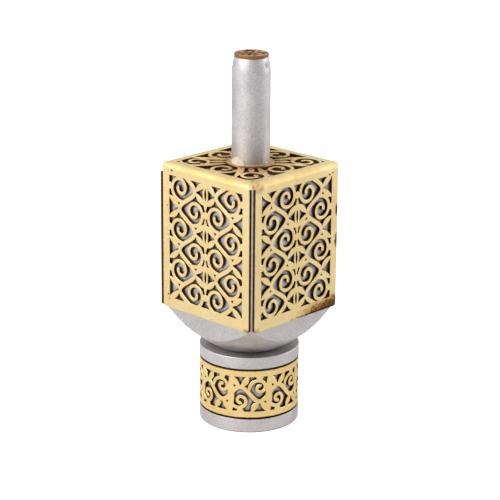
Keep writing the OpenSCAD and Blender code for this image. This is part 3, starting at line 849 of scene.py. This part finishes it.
stem = piece("stem_turned", np.concatenate([stem_corners, glue_corners]), stem_faces + glue_faces.tolist(),
             [stem_aluminium, glue], np.repeat([0, 1], [len(stem_faces), len(glue_faces)]),
             along=np.append(stem_along, none_on_glue), soot=np.append(dent_darkening * dent, none_on_glue),
             lump=np.append(none_on_stem, glue_body[glue_loop].ravel()))
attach(stem, "dreidel")
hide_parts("stem")

# Cap: a small disc of the same brass sheet, cut through with petals and dots and glued to the end of the
# stem. It was never cleaned after cutting, so it has stayed copper brown.
cap_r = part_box("stem_cap")[1].x / MM
cap_hole_d = 1
cap_border = 0.8
petals = 6
rim_light = 2
hole_painted_shade = 0.3
dot_ring_r = cap_r - cap_border - cap_hole_d / 2
petal_l = dot_ring_r - cap_hole_d
petal_turns = 360 / petals * np.arange(petals)
cap_holes = [ring(cap_hole_d / 2)]
cap_holes += [placed(leaf(petal_l, petal_l / 2) + (cap_hole_d, 0), 0, 0, turn) for turn in petal_turns]
cap_holes += [placed(ring(cap_hole_d / 2, dot_ring_r), 0, 0, turn + 180 / petals) for turn in petal_turns]
cap_flat, cap_faces, cap_burnt = cut_sheet([ring(cap_r, steps=fine_steps)], [], [], holes=cap_holes)
cap_top = stem_z + sheet_t
cap_blotches = [((0.5, -0.8, cap_top), (2.6, 2.2, 1), 0.75), ((-2.4, 1.4, cap_top), (1.8, 1.6, 1), 0.9),
                ((2.6, 2, cap_top), (1.3, 1.6, 1), 0.9), ((-1.6, -2.9, cap_top), (1.7, 1, 1), 0.7)]
cap_brass = satin_brass("browned_brass_cap", "#d9aa78", "#a87446", 0.4, cap_blotches)
# Painted shade: the walls of the small holes are painted dark for the shade down in them, and the outer rim
# wall keeps its lighter copper.
cap_rim = np.hypot(*cap_flat[:, :2].T) > cap_r - cap_border / 2
cap = piece("cap_cut_disc", cap_flat + (0, 0, stem_z), cap_faces, [cap_brass, cut_wall], cap_burnt,
            depth=np.where(cap_rim, rim_light, hole_painted_shade))
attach(cap, "dreidel")
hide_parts("stem_cap")

# Floor and backdrop: a white paper sweep in a white room. Seen directly both are white. In the metal the
# paper shows nearly as dark as the lamps leave it, and the room bright on the left and dim on the right.
# The paper keeps the shadow of the stand.
floor_reach = 4
paper_seen = 0.78
paper_in_metal = 0.08
room_dim = 0.34
room_bright = 0.92
room_plain = 0.3
room_left = (-0.66, -0.66, 0.35)
room_spread = 0.8
floor_mesh = bpy.data.meshes.new("floor")
floor_corners = [(-floor_reach, -floor_reach, 0), (floor_reach, -floor_reach, 0),
                 (floor_reach, floor_reach, 0), (-floor_reach, floor_reach, 0)]
floor_mesh.from_pydata(floor_corners, [], [(0, 1, 2, 3)])
floor = bpy.data.objects.new("floor", floor_mesh)
bpy.context.scene.collection.objects.link(floor)
floor_paper = bpy.data.materials.new("white_sweep_paper")
floor_paper.use_nodes = True
paper = floor_paper.node_tree
paper_shader = paper.nodes["Principled BSDF"]
paper_shader.inputs["Base Color"].default_value = linear("#f4f4f4")
paper_shader.inputs["Roughness"].default_value = 1
paper_shader.inputs["Specular IOR Level"].default_value = 0
paths = add(paper, "LightPath", {}).outputs
clear = add(paper, "Math", {0: paths["Is Camera Ray"], 1: paths["Is Transmission Ray"]}, operation="MAXIMUM")
seen_glow = add(paper, "Math", {0: clear.outputs[0], 1: paper_seen}, operation="MULTIPLY")
glow = add(paper, "Math", {0: paths["Is Glossy Ray"], 1: paper_in_metal, 2: seen_glow.outputs[0]},
           operation="MULTIPLY_ADD")
paper_shader.inputs["Emission Color"].default_value = (1, 1, 1, 1)
paper.links.new(glow.outputs[0], paper_shader.inputs["Emission Strength"])
floor_mesh.materials.append(floor_paper)

world = bpy.data.worlds.new("white_studio")
world.use_nodes = True
bpy.context.scene.world = world
studio = world.node_tree
sky = studio.nodes["Background"]
sky_paths = add(studio, "LightPath", {}).outputs
sky_clear = add(studio, "Math", {0: sky_paths["Is Camera Ray"], 1: sky_paths["Is Transmission Ray"]},
                operation="MAXIMUM")
sky_way = add(studio, "TexCoord", {}).outputs["Generated"]
sky_left = add(studio, "VectorMath", {0: sky_way, 1: room_left}, operation="DOT_PRODUCT")
sky_shade = add(studio, "MapRange", {0: sky_left.outputs["Value"], 1: -room_spread, 2: room_spread,
                                     3: room_dim, 4: room_bright})
sky_metal = add(studio, "MapRange", {0: sky_paths["Is Glossy Ray"], 3: room_plain, 4: sky_shade.outputs[0]})
sky_strength = add(studio, "Math", {0: sky_clear.outputs[0], 1: sky_metal.outputs[0]}, operation="MAXIMUM")
sky.inputs["Color"].default_value = (1, 1, 1, 1)
studio.links.new(sky_strength.outputs[0], sky.inputs["Strength"])

# Lamps: a soft box above in front on the left, a wider and weaker one on the right and a little behind, and
# a faint one behind. Each row gives a lamp's place, its width and its power.
lamp_aim = Vector((0, 0, 0.05))
lamps = {"key": ((-0.15, -0.75, 0.55), 0.45, 6.2),
         "fill": ((0.48, 0.82, 0.42), 0.6, 4.9),
         "back": ((-0.4, 0.7, 0.8), 0.6, 0.5)}
for name, (spot, size, power) in lamps.items():
    lamp_data = bpy.data.lights.new(name, "AREA")
    lamp_data.size = size
    lamp_data.energy = power
    lamp = bpy.data.objects.new(name, lamp_data)
    lamp.location = spot
    lamp.rotation_euler = (lamp_aim - lamp.location).to_track_quat("-Z", "Y").to_euler()
    bpy.context.scene.collection.objects.link(lamp)

# Camera: a long lens a little above the dreidel, turned to the corner between two of its faces. It looks
# down a little more steeply than the line to its aim, and is rolled by less than half a degree.
camera_turn = math.radians(43.7)
camera_rise = math.radians(16.95)
camera_dip = math.radians(17.69)
camera_roll = math.radians(0.43)
camera_away = 0.485
camera_aim = Vector((0, 0, 0.052))
camera_data = bpy.data.cameras.new("camera")
camera_data.sensor_width = 36
camera_data.lens = 136.2
camera = bpy.data.objects.new("camera", camera_data)
bpy.context.scene.collection.objects.link(camera)
from_aim = Vector((math.cos(camera_rise) * math.sin(camera_turn),
                   -math.cos(camera_rise) * math.cos(camera_turn), math.sin(camera_rise)))
camera.location = camera_aim + camera_away * from_aim
turned_up = Matrix.Rotation(camera_turn, 4, "Z") @ Matrix.Rotation(math.pi / 2 - camera_dip, 4, "X")
camera.rotation_euler = (turned_up @ Matrix.Rotation(camera_roll, 4, "Z")).to_euler()
bpy.context.scene.camera = camera
bpy.context.scene.view_settings.view_transform = "Standard"
